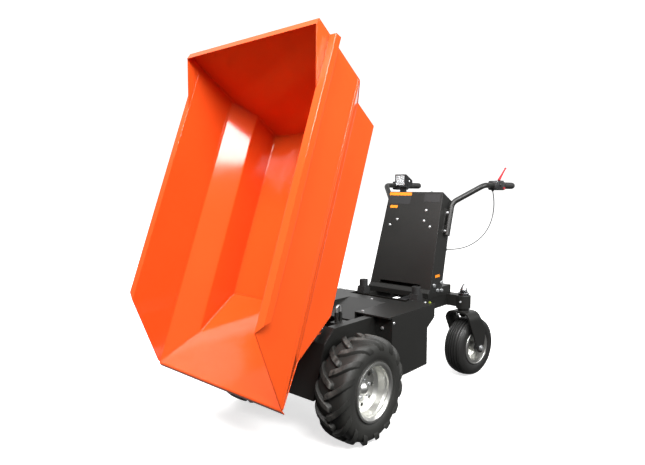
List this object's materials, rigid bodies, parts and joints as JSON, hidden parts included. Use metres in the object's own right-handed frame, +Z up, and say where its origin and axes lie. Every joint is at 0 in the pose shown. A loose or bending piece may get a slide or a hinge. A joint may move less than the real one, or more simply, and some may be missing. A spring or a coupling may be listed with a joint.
{
  "type": "walk-behind site dumper",
  "caption": "Battery walk-behind site dumper: a tipping steel skip on a driven front axle, a tiller column with flared handlebars, and swivelling rear casters.",
  "frame": {"origin": "on the ground under the middle of the whole machine's box, with the skip tipped", "axes": "+X forward, towards the skip's lip; +Y to the left; +Z up"},
  "size_m": [1.9804, 0.748, 1.4981],
  "materials": {
    "skip_paint": "glossy orange powder coat",
    "frame_paint": "satin black powder coat",
    "drive_casting": "as cast, matt",
    "battery_case": "moulded, matt",
    "panel_plastic": "fine moulded grain",
    "grip_rubber": "ribbed, matt",
    "control_plastic": "moulded, matt",
    "lever_red": "moulded, glossy",
    "cable_sheath": "grey extruded sheath",
    "lamp_body": "die cast, painted matt",
    "lamp_glass": "clear",
    "tyre_rubber": "moulded rubber, dusty",
    "rim_zinc": "bright zinc plate",
    "buffer_rubber": "moulded, matt",
    "bright_steel": "bright plated"
  },
  "bodies": {
    "chassis": {"chassis_side_left": "frame_paint", "chassis_side_right": "frame_paint", "chassis_nose": "frame_paint", "chassis_belly": "frame_paint", "transaxle": "drive_casting", "battery_box": "frame_paint", "battery_pack": "battery_case", "deck_plate": "frame_paint", "rear_frame": "frame_paint", "column_shell": "frame_paint", "column_back": "frame_paint", "control_panel": "panel_plastic", "column_pedestal": "frame_paint", "handlebar_left": "frame_paint", "handlebar_right": "frame_paint", "bar_saddles": "frame_paint", "grip_left": "grip_rubber", "grip_right": "grip_rubber", "brake_perch": "control_plastic", "throttle": "control_plastic", "brake_lever": "lever_red", "brake_cable": "cable_sheath", "cable_gland": "control_plastic", "lamp_housing": "lamp_body", "lamp_lens": "lamp_glass", "lamp_bracket": "lamp_body", "hinge_ears": "frame_paint", "rest_buffers": "buffer_rubber", "skip_catch": "frame_paint", "catch_hoop": "bright_steel"},
    "drive_wheel_left": {"drive_tyre_left": "tyre_rubber", "drive_rim_left": "rim_zinc"},
    "drive_wheel_right": {"drive_tyre_right": "tyre_rubber", "drive_rim_right": "rim_zinc"},
    "caster_left": {"caster_fork_left": "frame_paint"},
    "caster_right": {"caster_fork_right": "frame_paint"},
    "caster_wheel_left": {"caster_tyre_left": "tyre_rubber", "caster_rim_left": "rim_zinc"},
    "caster_wheel_right": {"caster_tyre_right": "tyre_rubber", "caster_rim_right": "rim_zinc"},
    "skip": {"skip_rear": "skip_paint", "skip_chute": "skip_paint", "skip_trough": "skip_paint", "skip_side_left": "skip_paint", "skip_side_right": "skip_paint", "skip_gussets": "skip_paint", "skip_underframe": "skip_paint"}
  },
  "joints": [
    {"name": "drive_spin_left", "type": "hinge", "parent": "chassis", "child": "drive_wheel_left", "pos_m": [0.41076, 0.295, 0.205], "axis": [0, 1, 0], "continuous": true},
    {"name": "drive_spin_right", "type": "hinge", "parent": "chassis", "child": "drive_wheel_right", "pos_m": [0.41076, -0.295, 0.205], "axis": [0, 1, 0], "continuous": true},
    {"name": "caster_swivel_left", "type": "hinge", "parent": "chassis", "child": "caster_left", "pos_m": [-0.50724, 0.261, 0.357], "axis": [0, 0, 1], "continuous": true},
    {"name": "caster_spin_left", "type": "hinge", "parent": "caster_left", "child": "caster_wheel_left", "pos_m": [-0.56042, 0.27038, 0.153], "axis": [0.1736, 0.9848, 0], "continuous": true},
    {"name": "caster_swivel_right", "type": "hinge", "parent": "chassis", "child": "caster_right", "pos_m": [-0.50724, -0.261, 0.357], "axis": [0, 0, 1], "continuous": true},
    {"name": "caster_spin_right", "type": "hinge", "parent": "caster_right", "child": "caster_wheel_right", "pos_m": [-0.56042, -0.25162, 0.153], "axis": [0.1736, 0.9848, 0], "continuous": true},
    {"name": "skip_tip", "type": "hinge", "parent": "chassis", "child": "skip", "pos_m": [0.52076, 0, 0.44], "axis": [0, 1, 0], "range_deg": [-70.43, 0]}
  ]
}
